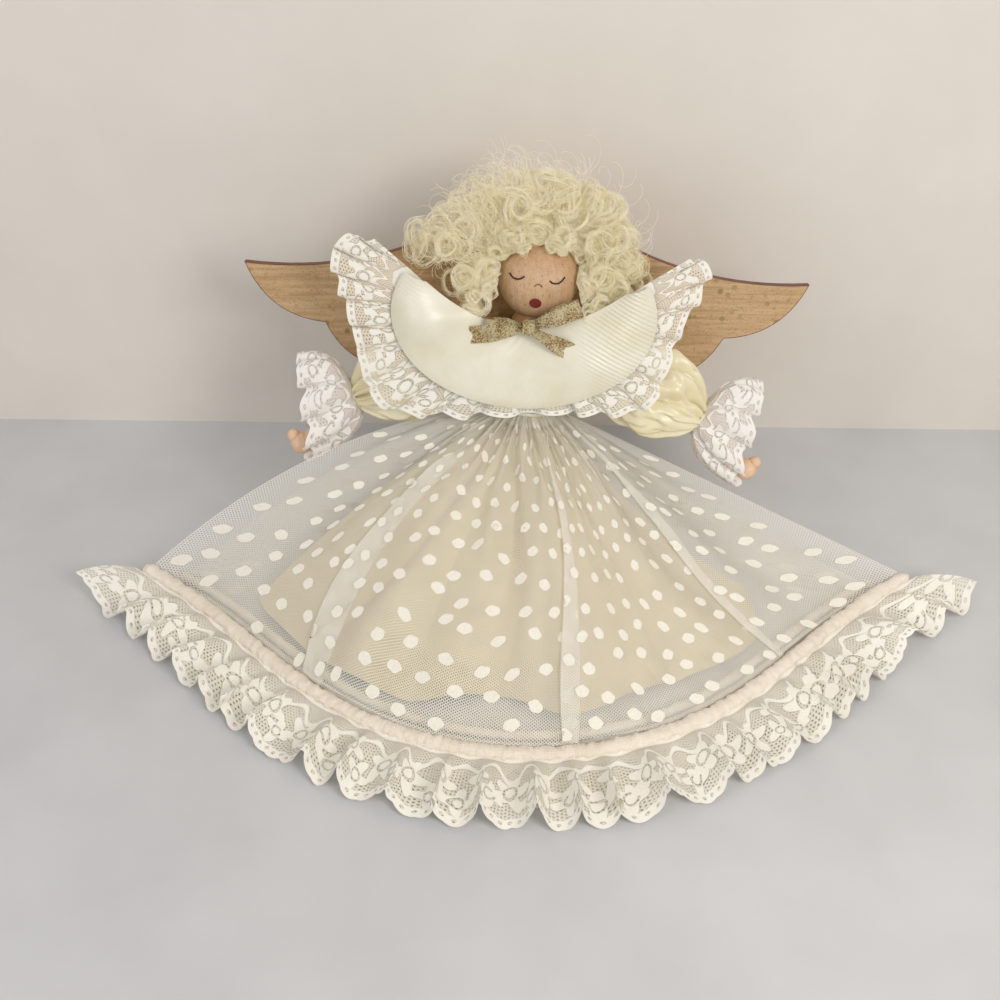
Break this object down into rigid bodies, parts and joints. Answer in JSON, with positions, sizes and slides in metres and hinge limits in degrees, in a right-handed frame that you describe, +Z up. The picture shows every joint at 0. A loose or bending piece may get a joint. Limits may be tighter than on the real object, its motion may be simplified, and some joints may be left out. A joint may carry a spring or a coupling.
{
  "type": "clothespin doll",
  "caption": "Clothespin angel doll with a wooden ball head, wooden wings, lace and satin collar, wire arms and a wide dotted net skirt spread on a table.",
  "frame": {"origin": "on the table under the clothespin's feet", "axes": "+Z up, the doll faces -Y, +X to the viewer's right"},
  "size_m": [0.3041, 0.1547, 0.1245],
  "materials": {
    "beech": "satin",
    "head_wood": "satin",
    "wing_wood": "painted speckles",
    "hair": "glossy fibre",
    "satin": "satin",
    "sleeve_satin": "satin",
    "lace": "matte",
    "net": "sheer",
    "petticoat": "matte",
    "hem_band": "satin",
    "gold_ribbon": "metallic",
    "wire": "plain",
    "hand": "matte"
  },
  "bodies": {
    "doll": {"peg_body": "beech", "head_ball": "head_wood", "hair_wig": "hair", "wings": "wing_wood", "bodice": "satin", "satin_collar": "satin", "lace_collar": "lace", "neck_ribbon": "gold_ribbon", "bow_knot": "gold_ribbon", "bow_loop_left": "gold_ribbon", "bow_loop_right": "gold_ribbon", "bow_tail_left": "gold_ribbon", "bow_tail_right": "gold_ribbon", "waist_tie": "net", "petticoat_front": "petticoat", "petticoat_back": "petticoat", "overskirt_front": "net", "overskirt_back": "net", "hem_cord_front": "hem_band", "hem_cord_back": "hem_band", "hem_lace_front": "lace", "hem_lace_back": "lace"},
    "left_arm": {"arm_wire_left": "wire", "sleeve_left": "sleeve_satin", "cuff_left": "lace", "hand_left": "hand"},
    "right_arm": {"arm_wire_right": "wire", "sleeve_right": "sleeve_satin", "cuff_right": "lace", "hand_right": "hand"}
  },
  "joints": [
    {"name": "left_shoulder", "type": "hinge", "parent": "doll", "child": "left_arm", "pos_m": [-0.00532, 0.01757, 0.07378], "axis": [0, 0.9659, -0.2588], "range_deg": [0, 25]},
    {"name": "right_shoulder", "type": "hinge", "parent": "doll", "child": "right_arm", "pos_m": [0.01286, 0.01733, 0.07286], "axis": [0, -0.9659, 0.2588], "range_deg": [0, 25]}
  ]
}
